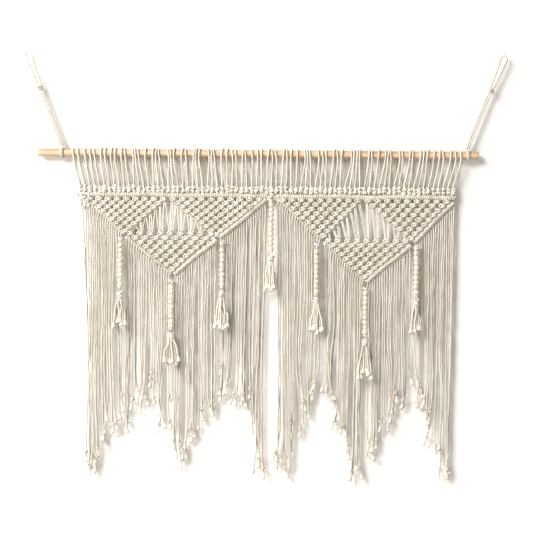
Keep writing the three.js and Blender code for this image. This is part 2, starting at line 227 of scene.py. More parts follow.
def frames_along(path):
    """Tangents and two normals that turn as little as they can along the path."""
    tangents = np.gradient(path, axis=0)
    tangents /= np.maximum(np.linalg.norm(tangents, axis=1, keepdims=True), 1e-12)
    start = np.array([0.0, -1.0, 0.0])
    if abs(tangents[0] @ start) > 0.9:
        start = np.array([1.0, 0.0, 0.0])
    normal = start - tangents[0] * (tangents[0] @ start)
    normal /= np.linalg.norm(normal)
    normals = np.empty_like(path)
    for i, tangent in enumerate(tangents):
        normal = normal - tangent * (tangent @ normal)
        normal /= math.sqrt(normal @ normal)
        normals[i] = normal
    return tangents, normals, np.cross(tangents, normals)


def cord_rings(path, diameter, sides=6, phase=0.0, radii=None, twist=TWIST, lobes=True):
    """Rings of a three-ply cord: high and low corners by turns, twisting along the path."""
    _, normals, others = frames_along(path)
    steps = np.linalg.norm(np.diff(path, axis=0), axis=1)
    along = np.concatenate([[0], np.cumsum(steps)])
    angles = np.arange(sides) / sides * TAU
    turn = angles[None, :] + (phase + along / twist * TAU)[:, None]
    size = np.full(sides, diameter / 2)
    if lobes:
        size = size * (PLY_LOW + (PLY_HIGH - PLY_LOW) * (0.5 + 0.5 * np.cos(3 * angles)))
    size = size[None, :] * (np.ones(len(path)) if radii is None else radii)[:, None]
    offset = np.cos(turn)[..., None] * normals[:, None] + np.sin(turn)[..., None] * others[:, None]
    return path[:, None] + size[..., None] * offset, along


def add_cord(solid, points, diameter=CORD, step=2.4 * MM, radii=None, sides=6, sampled=False):
    path = np.asarray(points, float) if sampled else path_through(points, step)
    rings, along = cord_rings(path, diameter, sides, rng.uniform(0, TAU), radii)
    solid.tube(rings, along=along + rng.uniform(0, 1))
    return path


def coil_path(start, end, radius, pitch, step, starts_at=0.0, wobble=0.0, wander=0.0):
    """A helix round the line from start to end, which runs left to right. wander is how far
    that line strays up and down."""
    start, end = np.asarray(start, float), np.asarray(end, float)
    length = np.linalg.norm(end - start)
    along = (end - start) / length
    side = np.array([0.0, -1.0, 0.0])
    side = side - along * (along @ side)
    side /= np.linalg.norm(side)
    other = np.cross(along, side)
    turns = length / pitch
    count = int(turns * TAU * radius / step) + 2
    t = np.linspace(0, 1, count)
    angle = starts_at + t * turns * TAU
    size = radius * (1 + wobble * np.sin(angle * 0.37 + 1.3) * np.sin(angle * 0.113))
    return (
        start
        + other * (wander * np.sin(TAU * t * length / 0.19 + starts_at) * np.sin(math.pi * t))[:, None]
        + along * (t * length)[:, None]
        + side * (size * np.cos(angle))[:, None]
        + other * (size * np.sin(angle))[:, None]
    )


def frayed_end(solid, tip, direction, width, length, count, thickness=1.0 * MM):
    """The brush at a cord's cut end, in the piece's second material: the plies open into a
    ragged flare, and loose fibres stand out of it."""
    tip = np.asarray(tip, float)
    direction = np.asarray(direction, float) / np.linalg.norm(direction)
    side = np.array([1.0, 0.0, 0.0]) - direction * direction[0]
    side /= np.linalg.norm(side)
    other = np.cross(direction, side)
    sides = 12
    angles = np.arange(sides) / sides * TAU
    locks = 1 + rng.uniform(-0.3, 0.25, sides)
    ragged = rng.uniform(-0.22, 0.12, sides)
    rings = []
    for share in (0.0, 0.2, 0.45, 0.7, 0.88, 1.0):
        flare = CORD * 0.46 * (1 - share) + width / 2 * share ** 0.8
        size = flare * (1 + (locks - 1) * min(1.0, share * 2.2))
        reach = length * (share * 0.85 + ragged * share ** 3)
        rings.append(
            tip - direction * 2 * MM + np.outer(reach, direction)
            + np.outer(size * np.cos(angles), side) + np.outer(size * 0.62 * np.sin(angles), other)
        )
    hollow = rings[-1].mean(axis=0) - direction * length * 0.22
    rings.append(hollow + (rings[-1] - hollow) * 0.35)
    solid.tube(np.array(rings), kind=1)
    for _ in range(count):
        angle, out = rng.uniform(0, TAU), math.sqrt(rng.uniform(0.2, 1.2))
        spread = (side * math.cos(angle) + other * 0.62 * math.sin(angle)) * out * width / 2
        start = tip + direction * length * 0.3 + spread * 0.45
        middle = tip + direction * length * 0.65 + spread * 0.8
        end = tip + direction * length * rng.uniform(0.85, 1.12) + spread * 1.15
        path = path_through([start, middle, end], 3 * MM)
        rings, along = cord_rings(
            path, thickness, 3, angle, np.linspace(1.0, 0.5, len(path)), lobes=False
        )
        solid.tube(rings, along=along + rng.uniform(0, 1), kind=1)


def small_knot(solid, place, along, size, diameter, radius=None):
    """An overhand knot: one and a half tight turns round the cord, crossing over themselves."""
    along = np.asarray(along, float) / np.linalg.norm(along)
    side = np.array([0.0, -1.0, 0.0])
    side = side - along * (along @ side)
    side /= np.linalg.norm(side)
    other = np.cross(along, side)
    start = rng.uniform(0, TAU)
    t = np.linspace(0, 1, 26)
    angle = start + t * 1.7 * TAU
    lift = (np.sin(t * TAU) * 0.55 + (t - 0.5) * 0.7) * size
    radius = (radius or size * 0.52) * (1 + 0.12 * np.cos(t * 3.4 * TAU))
    radius[0] *= 0.35
    radius[-1] *= 0.35
    path = (
        np.asarray(place)
        + along * lift[:, None]
        + side * (radius * np.cos(angle))[:, None]
        + other * (radius * np.sin(angle))[:, None]
    )
    rings, length = cord_rings(path_through(path, 1.6 * MM), diameter, 6, start)
    solid.tube(rings, along=length)


# ------------------------------------------------------------------ materials


def new_material(name):
    material = bpy.data.materials.new(name)
    material.use_nodes = True
    tree = material.node_tree
    shader = next(n for n in tree.nodes if n.type == "BSDF_PRINCIPLED")
    return material, tree, shader


def node(tree, kind, **values):
    made = tree.nodes.new(kind)
    for key, value in values.items():
        if key in made.inputs:
            made.inputs[key].default_value = value
        else:
            setattr(made, key, value)
    return made


def ramp(tree, factor, stops):
    made = tree.nodes.new("ShaderNodeValToRGB")
    elements = made.color_ramp.elements
    while len(elements) < len(stops):
        elements.new(0.5)
    for element, (place, colour) in zip(elements, stops):
        element.position = place
        element.color = (*colour, 1)
    tree.links.new(factor, made.inputs["Fac"])
    return made.outputs["Color"]


def sum_of(tree, start, *parts):
    """start plus each output times its weight."""
    total = start
    for output, weight in parts:
        step = node(tree, "ShaderNodeMath", operation="MULTIPLY_ADD")
        tree.links.new(output, step.inputs[0])
        step.inputs[1].default_value = weight
        if isinstance(total, float):
            step.inputs[2].default_value = total
        else:
            tree.links.new(total, step.inputs[2])
        total = step.outputs[0]
    return total


def roughen(tree, shader, output, low, high):
    """Roughness from low to high as the output goes from 0 to 1."""
    rough = node(tree, "ShaderNodeMapRange")
    rough.inputs["To Min"].default_value = low
    rough.inputs["To Max"].default_value = high
    tree.links.new(output, rough.inputs["Value"])
    tree.links.new(rough.outputs["Result"], shader.inputs["Roughness"])


def cotton_material(name, pale, mid, deep, ply_painted_shade):
    """Soft twisted cotton: fibres that follow the plies, and slow changes of tone, with painted light
    and shade on the plies: each ply's ridge is painted lighter and the valley between plies darker.
    """
    material, tree, shader = new_material(name)
    link = tree.links.new
    cord_map = node(tree, "ShaderNodeUVMap", uv_map="cord_map")
    stretch = node(tree, "ShaderNodeMapping")
    stretch.inputs["Scale"].default_value = (14, 120, 1)
    link(cord_map.outputs["UV"], stretch.inputs["Vector"])
    fibres = node(tree, "ShaderNodeTexNoise", Scale=1.0, Detail=4.0, Roughness=0.65)
    link(stretch.outputs["Vector"], fibres.inputs["Vector"])
    place = node(tree, "ShaderNodeTexCoord")
    slow = node(tree, "ShaderNodeTexNoise", Scale=34.0, Detail=3.0, Roughness=0.6)
    link(place.outputs["Object"], slow.inputs["Vector"])
    fuzz = node(tree, "ShaderNodeTexNoise", Scale=1500.0, Detail=3.0, Roughness=0.7)
    link(place.outputs["Object"], fuzz.inputs["Vector"])
    split = node(tree, "ShaderNodeSeparateXYZ")
    link(cord_map.outputs["UV"], split.inputs["Vector"])
    along = node(tree, "ShaderNodeTexNoise", Scale=5.0, Detail=1.0, noise_dimensions="1D")
    link(split.outputs["Y"], along.inputs["W"])
    mixed = sum_of(tree, 0.02, (fibres.outputs["Fac"], 0.4), (slow.outputs["Fac"], 0.3),
                   (along.outputs["Fac"], 0.3))
    # Painted shade and highlight: the colour turns darker in the valleys between the three plies and
    # lighter on their ridges, as much as the ply shade weight says.
    turned = node(tree, "ShaderNodeMath", operation="MULTIPLY")
    link(split.outputs["X"], turned.inputs[0])
    turned.inputs[1].default_value = 3 * TAU
    ply = node(tree, "ShaderNodeMath", operation="COSINE")
    link(turned.outputs[0], ply.inputs[0])
    shaded = sum_of(tree, 0.0, (ply.outputs[0], ply_painted_shade), (mixed, 1.0))
    # The deepest colour is reached in the painted ply valleys and in the darkest random tone, and is
    # chosen as the colour of cord in shadow, so it is painted shade as well as tone.
    colour = ramp(tree, shaded, [(0.26, deep), (0.46, mid), (0.68, pale)])
    link(colour, shader.inputs["Base Color"])
    height = node(tree, "ShaderNodeMath", operation="ADD")
    link(fibres.outputs["Fac"], height.inputs[0])
    link(fuzz.outputs["Fac"], height.inputs[1])
    bump = node(tree, "ShaderNodeBump", Strength=0.45, Distance=0.0006)
    link(height.outputs[0], bump.inputs["Height"])
    link(bump.outputs["Normal"], shader.inputs["Normal"])
    roughen(tree, shader, fuzz.outputs["Fac"], 0.84, 0.98)
    shader.inputs["Sheen Weight"].default_value = 0.08
    shader.inputs["Sheen Roughness"].default_value = 0.6
    shader.inputs["Specular IOR Level"].default_value = 0.2
    return material


def wood_material(name, light, middle, dark, scale, roughness, squeeze):
    """Fine straight grain with slow bands of shade, pores and a little wear."""
    material, tree, shader = new_material(name)
    link = tree.links.new
    place = node(tree, "ShaderNodeTexCoord")
    grain_map = node(tree, "ShaderNodeMapping")
    grain_map.inputs["Scale"].default_value = squeeze
    link(place.outputs["Object"], grain_map.inputs["Vector"])
    grain = node(tree, "ShaderNodeTexNoise", Scale=scale, Detail=6.0, Roughness=0.62, Distortion=0.6)
    link(grain_map.outputs["Vector"], grain.inputs["Vector"])
    bands = node(tree, "ShaderNodeTexWave", Scale=scale * 0.35, Distortion=6.0, Detail=3.0)
    bands.bands_direction = "Z"
    link(grain_map.outputs["Vector"], bands.inputs["Vector"])
    slow = node(tree, "ShaderNodeTexNoise", Scale=9.0, Detail=2.0)
    link(place.outputs["Object"], slow.inputs["Vector"])
    mixed = sum_of(tree, grain.outputs["Fac"], (bands.outputs["Fac"], 0.3),
                   (slow.outputs["Fac"], 0.35))
    colour = ramp(tree, mixed, [(0.45, dark), (0.78, middle), (1.0, light)])
    link(colour, shader.inputs["Base Color"])
    bump = node(tree, "ShaderNodeBump", Strength=0.25, Distance=0.0004)
    link(grain.outputs["Fac"], bump.inputs["Height"])
    link(bump.outputs["Normal"], shader.inputs["Normal"])
    roughen(tree, shader, grain.outputs["Fac"], roughness - 0.1, roughness + 0.12)
    return material


# One cotton cord in lit and shaded copies of its colour, as painted light and shade: the knots'
# cotton, also used for everything but the fringe and the hangers, is painted lighter against the
# self-shadowing of the knots; the fringe's copy is painted darker in its middle and deep tones as
# shade, with lighter painted highlights; and the frayed ends' copy is painted lighter than the fringe,
# against the shade among their thin fibres.
COTTON = cotton_material(
    "cotton_cord", (0.79, 0.755, 0.68), (0.67, 0.62, 0.52), (0.33, 0.255, 0.16), 0.17
)
FRINGE_COTTON_SHADED = cotton_material(
    "cotton_fringe_shaded", (0.80, 0.765, 0.69), (0.59, 0.54, 0.45), (0.23, 0.17, 0.10), 0.21
)
HANGER_COTTON = cotton_material(
    "hanger_cotton", (0.66, 0.61, 0.52), (0.52, 0.47, 0.38), (0.30, 0.25, 0.18), 0.15
)
LOOSE_COTTON_LIT = cotton_material(
    "cotton_fray_lit", (0.76, 0.72, 0.63), (0.69, 0.63, 0.52), (0.50, 0.42, 0.31), 0.0
)
DOWEL_WOOD = wood_material(
    "dowel_wood", (0.60, 0.45, 0.305), (0.52, 0.37, 0.235), (0.38, 0.245, 0.14), 60, 0.55, (0.06, 1, 1)
)
BEAD_WOOD = wood_material(
    "bead_wood", (0.70, 0.65, 0.53), (0.65, 0.58, 0.44), (0.48, 0.39, 0.25), 180, 0.42, (1, 1, 0.25)
)

# ------------------------------------------------------------------ fastening to the frame


def place(piece, body, slot, *replaced):
    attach(piece, body)
    if replaced:
        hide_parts(*replaced)


def body_of(node_name):
    bodies = frame["record"]["behaviour"]["bodies"]
    return next(body for body, nodes in bodies.items() if node_name in nodes)


PANEL = body_of("heading_cords_1")
RAIL = body_of("dowel")

# ------------------------------------------------------------------ hanger cords

HANGER_KNOT_Z = -0.086
HANGER_ROUTES = {
    "left": [
        (-514.6, -231.5), (-523.9, -206.5), (-533.3, -181.5), (-542.6, -156.5), (-552, -131.5),
        (-561.3, -106.5), (-570.6, -84.5), (-581.5, -61), (-592, -37), (-600.8, -18),
        (-604.4, -7.5), (-602.8, -0.6), (-597, 2.2), (-591.5, -0.4), (-588.3, -7), (-585.8, -17),
        (-579.5, -37), (-572, -58), (-565, -81), (-556.3, -104.5), (-546.9, -129.5),
        (-537.6, -154.5), (-528.3, -179.5), (-518.9, -204.5), (-509.3, -230.8),
    ],
    "right": [
        (504.6, -231.5), (514.1, -206.5), (523.8, -181.5), (533.5, -156.5), (543.3, -131.5),
        (553.1, -106.5), (563, -84.5), (574.6, -61), (585.8, -37), (594.6, -18),
        (598.6, -7.5), (597.2, -0.6), (591.5, 2.2), (585.9, -0.4), (582.6, -7), (580, -17),
        (573.4, -37), (565.6, -58), (557.4, -81), (547.9, -104.5), (538.1, -129.5),
        (528.4, -154.5), (518.7, -179.5), (509, -204.5), (499.3, -230.8),
    ],
}


def hanger(side):
    """One cord: from its windings on the dowel, over the hook and back, tied once on the way."""
    route = [(x * MM, 0.0, z * MM) for x, z in HANGER_ROUTES[side]]
    solid = Solid()
    path = path_through(route, 2.2 * MM)
    rings, along = cord_rings(path, CORD, 9)
    solid.tube(rings, along=along)
    cord = solid.build(f"hanger_rope_{side}", HANGER_COTTON)
    place(cord, RAIL, "cotton_cord", f"hanger_cord_{side}")

    low, high = box(f"hanger_wrap_{side}")
    middle = (low + high) / 2
    half = (high[0] - low[0]) / 2 - CORD / 2
    winding = Solid()
    coil = coil_path(
        (middle[0] - half, 0, DOWEL_Z), (middle[0] + half, 0, DOWEL_Z),
        DOWEL_RADIUS + CORD / 2, 2 * half / 2.6, 2.2 * MM, starts_at=math.pi / 2,
    )
    rings, along = cord_rings(coil, CORD, 9)
    winding.tube(rings, along=along)
    wrap = winding.build(f"hanger_wrap_{side}_turns", HANGER_COTTON)
    place(wrap, RAIL, "cotton_cord", f"hanger_wrap_{side}")

    knot = Solid()
    tie = np.array([(route[6][0] + route[18][0]) / 2, 0, HANGER_KNOT_Z])
    lean = np.array(route[9]) - np.array(route[3])
    lean /= np.linalg.norm(lean)
    for shift in (-2.6 * MM, 2.6 * MM):
        low, high = tie + lean * (shift - 1.2 * MM), tie + lean * (shift + 1.2 * MM)
        ring = coil_path(low, high, 5.9 * MM, 2.4 * MM, 1.8 * MM, starts_at=shift)
        rings, along = cord_rings(ring, 3.6 * MM, 6)
        knot.tube(rings, along=along)
    tied = knot.build(f"hanger_knot_{side}", HANGER_COTTON)
    place(tied, RAIL, "cotton_cord")


hanger("left")
hanger("right")

# ------------------------------------------------------------------ the knotted panel's layout

# Each half from left to right: its two upper triangles with their numbers of knots in the
# first row, the lower triangle's number, and the legs of its zigzag with the fringe below each.
HALVES = {
    "left": {
        "upper": (("outer", 9), ("inner", 10)),
        "lower": 9,
        "legs": ("outer", "low_outer", "low_inner", "inner"),
        "fringe": (1, 2, 3, 4),
    },
    "right": {
        "upper": (("inner", 9), ("outer", 9)),
        "lower": 9,
        "legs": ("inner", "low_inner", "low_outer", "outer"),
        "fringe": (4, 3, 2, 1),
    },
}


class Triangle:
    """An inverted triangle of alternating square knots, with count knots in its first row."""

    def __init__(self, name, count):
        points = node_points(name)
        low, high = box(name)
        tip = points[points[:, 2] < low[2] + 0.5 * MM].mean(axis=0)
        self.count = count
        self.left, self.top = low[0], high[2]
        self.pitch = (high[0] - low[0]) / count
        self.row = (self.top - tip[2]) / (count + 0.35)
        self.shear = (tip[0] - (low[0] + high[0]) / 2) / (count - 1)

    def centre(self, row, j):
        x = self.left + (row / 2 + j + 0.5) * self.pitch + self.shear * row
        z = self.top - (row + 0.6) * self.row
        return np.array([x, 0.0, z])


# A square knot's four cords, left to right, as offsets from its centre in millimetres. The
# left working cord crosses in front twice and the right one behind, round two that run
# straight through.
FRONT_WORKER = [
    (-4.6, 0.2, 4.4), (-3.0, -3.4, 3.1), (0.4, -4.8, 1.9), (4.4, -3.5, 1.4), (6.1, 0.0, 0.1),
    (4.3, -3.7, -1.1), (0.0, -4.8, -1.9), (-3.2, -3.2, -3.0), (-4.6, 0.2, -4.4),
]
BACK_WORKER = [
    (4.6, 0.2, 4.4), (3.0, 3.4, 3.3), (-0.4, 4.3, 2.5), (-4.6, 2.6, 2.1), (-6.4, -1.8, 1.5),
    (-6.9, -3.2, -0.1), (-6.2, -1.6, -1.7), (-4.3, 2.8, -2.2), (0.0, 4.3, -2.6),
    (3.2, 3.2, -3.3), (4.6, 0.2, -4.4),
]
FILLER_LEFT = [(-2.1, 0.0, 4.6), (-1.8, -1.7, 0.0), (-2.1, 0.0, -4.6)]
FILLER_RIGHT = [(2.1, 0.0, 4.6), (1.8, -1.7, 0.0), (2.1, 0.0, -4.6)]
KNOT_PARTS = [FRONT_WORKER, FILLER_LEFT, FILLER_RIGHT, BACK_WORKER]


def tie_knot(strands, centre, tilt=0.0, size=1.0):
    """Leads four strands, as lists of points, through one square knot."""
    for strand, part in zip(strands, KNOT_PARTS):
        for x, y, z in part:
            turned = np.array([
                x * math.cos(tilt) - z * math.sin(tilt), y, x * math.sin(tilt) + z * math.cos(tilt)
            ])
            strand.append(centre + turned * size * MM)


def tie_triangle(solid, triangle, starts, left_end, right_end):
    """Leads 4 * count strands from their start points through the rows. left_end and right_end
    give the place where strand 0 or 1 of a row's outer pair leaves."""
    current = [[np.asarray(start)] for start in starts]
    for row in range(triangle.count):
        knots = triangle.count - row
        for j in range(knots):
            centre = triangle.centre(row, j) + rng.normal(0, 0.35 * MM, 3)
            tie_knot(current[4 * j:4 * j + 4], centre, rng.normal(0, 0.06), rng.normal(1.15, 0.04))
        for k in (0, 1):
            current[k].append(left_end(row, k))
            current[k - 2].append(right_end(row, k))
        for strand in current[:2] + current[-2:]:
            add_cord(solid, strand, KNOT_CORD, step=2.0 * MM)
        current = current[2:-2]


def ridge_point(name, share):
    left, right = RIDGES[name]
    return left + (right - left) * share


RIDGES = {
    f"ridge_{side}_{leg}": axis_ends(f"ridge_{side}_{leg}")
    for side, half in HALVES.items()
    for leg in half["legs"]
}

# ------------------------------------------------------------------ fringe

strands = []


def fringe_strand(start, over_front, end, sway):
    """The line of one fringe cord, from inside its ridge to its cut end at x and z."""
    depth = FRINGE_Y + rng.uniform(-1, 1) * FRINGE_DEPTH / 2
    depth += FRINGE_DEPTH / 2 if rng.random() < 0.5 else -FRINGE_DEPTH / 2
    end_x, end_z = end
    if over_front:
        first = [(1.0, -2, -0.6), (0.8, -5.9, -3), (0.2, -6.5, -7), (-0.6, -3.8, -14)]
    else:
        first = [(0, 1, 1), (0, 2.6, -3), (0, 1.8, -8), (0, 1.2, -14)]
    points = [start + np.array(offset) * MM for offset in first]
    count = max(5, int((start[2] - end_z) / (24 * MM)))
    amount, turns, phase, curl = sway
    for i in range(1, count + 1):
        share = i / count
        ease = share ** 0.85
        x = start[0] + (end_x - start[0]) * ease
        x += amount * share * math.sin(turns * TAU * share + phase)
        x += rng.normal(0, 0.55 * MM) + curl * max(0.0, share - 0.86) ** 2 * 50
        y = depth + rng.normal(0, 0.4 * MM)
        z = points[3][2] + (end_z - points[3][2]) * share
        points.append(np.array([x, y, z]))
    return points


# How far the first and last cords of a section lean sideways by their ends, in millimetres.
FRINGE_LEAN = {
    "fringe_left_1": (20, 0), "fringe_left_4": (0, -18),
    "fringe_right_4": (12, 0), "fringe_right_1": (0, -15),
}


def fringe(side, number, leg, count):
    """The cords below one leg, gathered towards their ends in uneven tufts."""
    name = f"fringe_{side}_{number}"
    ridge = f"ridge_{side}_{leg}"
    left, right = RIDGES[ridge]
    over_front = right[2] < left[2]
    hem_x, hem_z = hem_of(name)
    low_share = -0.05 if name == "fringe_left_1" else 0.0
    high_share = 1.05 if name == "fringe_right_1" else 1.0
    low_lean, high_lean = FRINGE_LEAN.get(name, (0, 0))
    number_in_section = 0
    i = 0
    while i < count:
        size = min(count - i, int(rng.choice([1, 2, 2, 3, 3, 4])))
        shares = [low_share + (i + k + 0.5) / count * (high_share - low_share) for k in range(size)]
        starts = [ridge_point(ridge, share) for share in shares]
        middle = sum(start[0] for start in starts) / size + rng.normal(0, 3.4 * MM)
        share = shares[0]
        middle += (low_lean * (1 - share) ** 2 + high_lean * share ** 2) * MM
        group_drop = rng.normal(0, 9 * MM)
        turns, phase = rng.uniform(0.7, 1.6), rng.uniform(0, TAU)
        amount = rng.normal(0, 3.2 * MM)
        for start in starts:
            x = middle + (start[0] - middle) * rng.uniform(0.3, 0.7) + rng.normal(0, 1.6 * MM)
            z = np.interp(start[0], hem_x, hem_z) + group_drop + rng.normal(0, 5 * MM)
            z += min(rng.exponential(16 * MM), 70 * MM)
            sway = (amount + rng.normal(0, 1 * MM), turns, phase + rng.normal(0, 0.25),
                    rng.normal(0, 5 * MM))
            start = start + np.array([rng.normal(0, 0.4 * MM), 0, 0])
            number_in_section += 1
            points = fringe_strand(start, over_front, (x, z), sway)
            strands.append((name, number_in_section, points))
        i += size


for side, half in HALVES.items():
    upper = half["upper"]
    counts = (2 * upper[0][1], 2 * half["lower"], 2 * half["lower"], 2 * upper[1][1])
    for leg, number, count in zip(half["legs"], half["fringe"], counts):
        fringe(side, number, leg, count)

# The cords that reach lowest are built one by one, and the others are joined by section.
strands.sort(key=lambda strand: strand[2][-1][2])
furthest, rest = strands[:DECLARED_FRINGE], strands[DECLARED_FRINGE:]


def finish_end(solid, path, knotted):
    """The cut end: loose fibres, with a small knot above them on some cords."""
    direction = path[-1] - path[-4]
    if knotted:
        at = path[-int(rng.uniform(4, 8))]
        small_knot(solid, at, direction, rng.uniform(6.4, 8.0) * MM, 3.8 * MM)
    frayed_end(
        solid, path[-1], direction, rng.uniform(7, 11) * MM, rng.uniform(12, 20) * MM,
        int(rng.uniform(6, 11)),
    )


for name, number, points in furthest:
    solid = Solid()
    path = add_cord(solid, points, FRINGE_CORD)
    cord = solid.build(f"{name}_cord_{number}", FRINGE_COTTON_SHADED)
    place(cord, PANEL, "cotton_cord")
    ends = Solid()
    knotted = rng.random() < 0.5
    finish_end(ends, path, knotted)
    tip = ends.build(f"{name}_cord_{number}_end", FRINGE_COTTON_SHADED, LOOSE_COTTON_LIT)
    place(tip, PANEL, "cotton_cord")

for side, half in HALVES.items():
    for number in half["fringe"]:
        name = f"fringe_{side}_{number}"
        solid = Solid()
        for section, _, points in rest:
            if section == name:
                path = add_cord(solid, points, FRINGE_CORD)
                finish_end(solid, path, rng.random() < 0.5)
        piece = solid.build(f"{name}_cords", FRINGE_COTTON_SHADED, LOOSE_COTTON_LIT)
        place(piece, PANEL, "cotton_cord", name)

# ------------------------------------------------------------------ triangles, fans and ridges


def wind_ridge(name, ends, coil=4.1 * MM, diameter=4.4 * MM):
    """Hitches side by side on a carrier cord."""
    solid = Solid()
    start, end = ends
    length = np.linalg.norm(end - start)
    turns = round(length / (0.94 * diameter))
    path = coil_path(
        start, end, coil, length / turns, 1.9 * MM, rng.uniform(0, TAU), 0.08, 1.7 * MM
    )
    rings, along = cord_rings(path, diameter, 6, 0.0)
    solid.tube(rings, along=along)
    core = path_through([start, end], 6 * MM)
    rings, along = cord_rings(core, 2 * RIDGE_CORE, 6)
    solid.tube(rings, along=along)
    piece = solid.build(f"{name}_hitches", COTTON)
    place(piece, PANEL, "cotton_cord", name)


# How far the header ridge sags below its straight line at its left and right end.
HEADER_SAG = {"left": (0.0, 2.0 * MM), "right": (3.0 * MM, 3.0 * MM)}

for side, half in HALVES.items():
    (first_name, first_count), (second_name, second_count) = half["upper"]
    first = Triangle(f"lattice_{side}_{first_name}", first_count)
    second = Triangle(f"lattice_{side}_{second_name}", second_count)
    lower = Triangle(f"lattice_{side}_lower", half["lower"])
    legs = [f"ridge_{side}_{leg}" for leg in half["legs"]]

    def onto_falling(leg, count):
        return lambda row, k: ridge_point(leg, (row + 0.25 + 0.5 * k) / count)

    def onto_rising(leg, count):
        return lambda row, k: ridge_point(leg, 1 - (row + 0.75 - 0.5 * k) / count)

    def into_fan(triangle, way):
        def leave(row, k):
            j = 0 if way < 0 else triangle.count - row - 1
            aside = (3.4 + (1.6 if (k == 0) == (way < 0) else -1.6)) * way
            return triangle.centre(row, j) + np.array([aside, 0, -6.4]) * MM
        return leave

    def under_header(triangle):
        spacing = triangle.pitch / 4
        return [
            np.array([triangle.left + (i + 0.5) * spacing, 0, HEADER_Z - 3 * MM])
            for i in range(4 * triangle.count)
        ]

    for triangle, name, ends in (
        (first, first_name, (onto_falling(legs[0], first_count), into_fan(first, 1))),
        (second, second_name, (into_fan(second, -1), onto_rising(legs[3], second_count))),
    ):
        solid = Solid()
        tie_triangle(solid, triangle, under_header(triangle), *ends)
        piece = solid.build(f"lattice_{side}_{name}_knots", COTTON)
        place(piece, PANEL, "cotton_cord", f"lattice_{side}_{name}")

    tops = [into_fan(first, 1)(row, k) for row in reversed(range(first_count)) for k in (0, 1)]
    tops += [into_fan(second, -1)(row, k) for row in range(second_count) for k in (0, 1)]
    spare = len(tops) - 4 * half["lower"]
    entries = tops[spare // 2:len(tops) - spare // 2]
    solid = Solid()
    starts = []
    for i, top in enumerate(entries):
        knot = lower.centre(0, i // 4)
        to = knot + np.array([(i % 4 - 1.5) * 3.2, 0, 6.0]) * MM
        waver = rng.normal(0, 0.7 * MM, 3)
        third = top + (to - top) * 0.35 + waver
        two_thirds = top + (to - top) * 0.7 + waver * 0.6
        add_cord(solid, [top + np.array([0, 0, 3 * MM]), top, third, two_thirds, to], FAN_CORD)
        starts.append(to)
    for k in range(spare // 2):
        add_cord(solid, [tops[k], ridge_point(legs[0], 0.97)], FAN_CORD)
        add_cord(solid, [tops[-1 - k], ridge_point(legs[3], 0.03)], FAN_CORD)
    piece = solid.build(f"fan_{side}_cords", COTTON)
    place(piece, PANEL, "cotton_cord", f"fan_{side}")

    solid = Solid()
    ends = (onto_falling(legs[1], lower.count), onto_rising(legs[2], lower.count))
    tie_triangle(solid, lower, starts, *ends)
    piece = solid.build(f"lattice_{side}_lower_knots", COTTON)
    place(piece, PANEL, "cotton_cord", f"lattice_{side}_lower")

    for leg in legs:
        wind_ridge(leg, RIDGES[leg])
    header = [end - np.array([0, 0, sag]) for end, sag in zip(HEADER[side], HEADER_SAG[side])]
    wind_ridge(f"header_ridge_{side}", header, 4.7 * MM, 4.9 * MM)



def corner_knots():
    """Small knots below the header's left end, where the first cords are tied off together."""
    corner = HEADER["left"][0]
    solid = Solid()
    for x, drops in ((9, (-2, -12, -23)), (18, (-9, -19, -29)), (28, (-15, -26))):
        run = [corner + np.array([x, -4.5, z]) * MM for z in (3, drops[0], drops[-1], drops[-1] - 8)]
        add_cord(solid, run, CORD)
        for drop in drops:
            at = corner + (np.array([x, -5.0, drop]) + rng.normal(0, 0.7, 3)) * MM
            small_knot(solid, at, (rng.normal(0, 0.4), 0, 1), 9.0 * MM, 5.2 * MM, 4.0 * MM)
    piece = solid.build("corner_knots_left", COTTON)
    place(piece, PANEL, "cotton_cord")


corner_knots()

# ------------------------------------------------------------------ heading and its knots

PANELS = [f"heading_cords_{i}" for i in (1, 2, 3, 4)]


